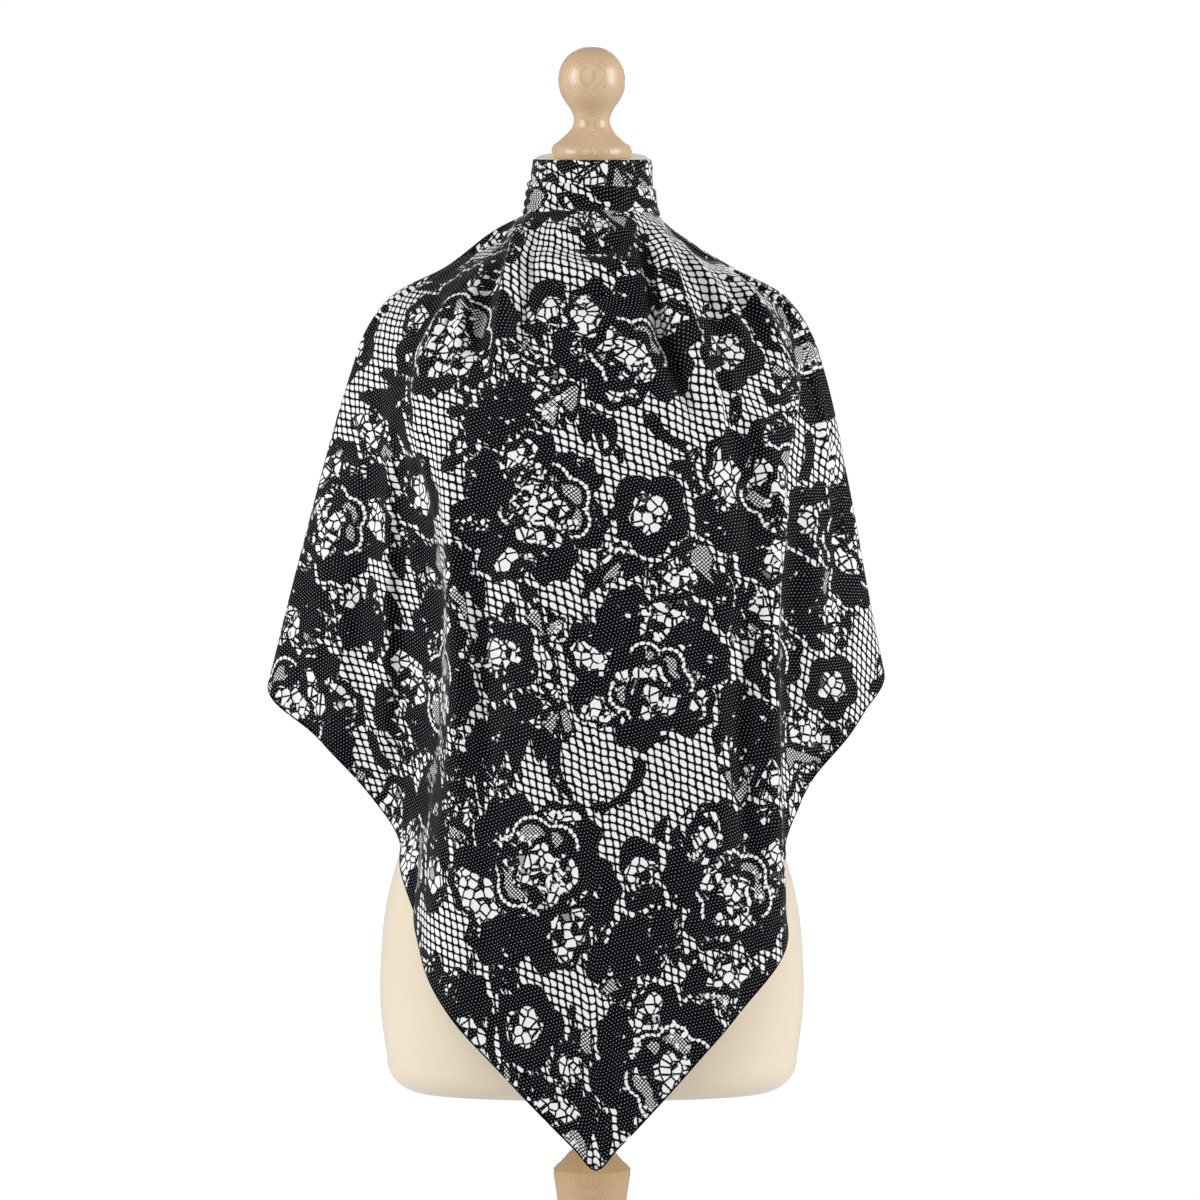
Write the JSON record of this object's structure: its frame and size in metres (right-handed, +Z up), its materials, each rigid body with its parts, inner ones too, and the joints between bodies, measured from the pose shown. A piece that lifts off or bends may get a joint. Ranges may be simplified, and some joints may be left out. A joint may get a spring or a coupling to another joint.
{
  "type": "silk scarf on a limbless dress form",
  "caption": "Large printed silk scarf worn as a cape: folded edge wound round the neck, one corner hanging in front, on a limbless dress form with a turned wooden stand.",
  "frame": {"origin": "centre of the stand's foot on the floor, under the pole's axis", "axes": "+Z up; -Y is the front, where the scarf's corner hangs; +X is to the right of someone who faces the front"},
  "size_m": [0.5155, 0.37, 1.5058],
  "materials": {
    "scarf_silk": "soft sheen, navy black floral net print on cream",
    "cream_jersey": "matt fine jersey",
    "varnished_beech": "clear satin varnish",
    "steel_pole": "brushed"
  },
  "bodies": {
    "root": {"scarf_neck_band": "scarf_silk", "scarf_neck_roll": "scarf_silk", "scarf_front_fall": "scarf_silk", "scarf_left_wing": "scarf_silk", "scarf_right_wing": "scarf_silk", "scarf_knot": "scarf_silk", "scarf_tail_left": "scarf_silk", "scarf_tail_right": "scarf_silk", "form_body": "cream_jersey", "form_knob": "varnished_beech", "stand_socket": "steel_pole", "stand_pole": "steel_pole", "stand_column": "varnished_beech", "stand_base": "varnished_beech"}
  },
  "joints": []
}
